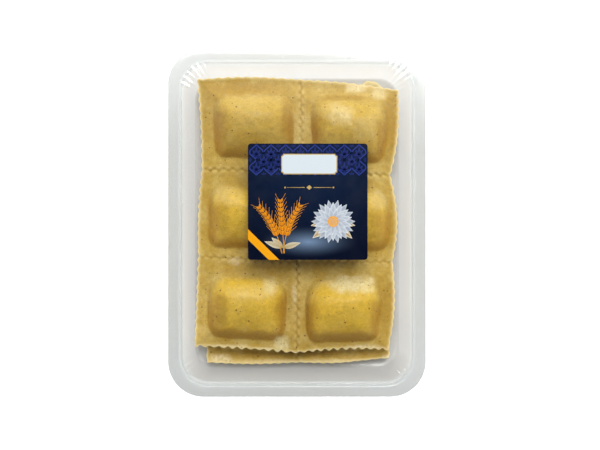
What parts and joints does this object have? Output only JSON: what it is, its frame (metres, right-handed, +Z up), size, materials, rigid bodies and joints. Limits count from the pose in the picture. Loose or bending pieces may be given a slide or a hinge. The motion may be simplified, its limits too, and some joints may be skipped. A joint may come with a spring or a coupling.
{
  "type": "ravioli tray pack",
  "caption": "Sealed clear tray of fresh filled ravioli, joined in stacked sheets with pinked edges, under a thin film that carries a square label.",
  "frame": {"origin": "middle of the tray's underside, on the surface that the pack lies on", "axes": "+Z up out of the film, +Y along the tray's long side, towards the far edge of the label, +X across it to the right"},
  "size_m": [0.138, 0.186, 0.0353],
  "materials": {
    "tray_plastic": "hazy clear thermoformed plastic, smooth",
    "egg_dough": "moist egg dough, soft satin, with fine brown specks",
    "clear_film": "clear glossy film, finely rippled",
    "label_print": "printed label, satin, dark blue with simple shapes"
  },
  "bodies": {
    "root": {"tray": "tray_plastic", "ravioli_sheet_lower": "egg_dough", "ravioli_sheet_upper": "egg_dough", "lid_film": "clear_film", "label": "label_print"}
  },
  "joints": []
}
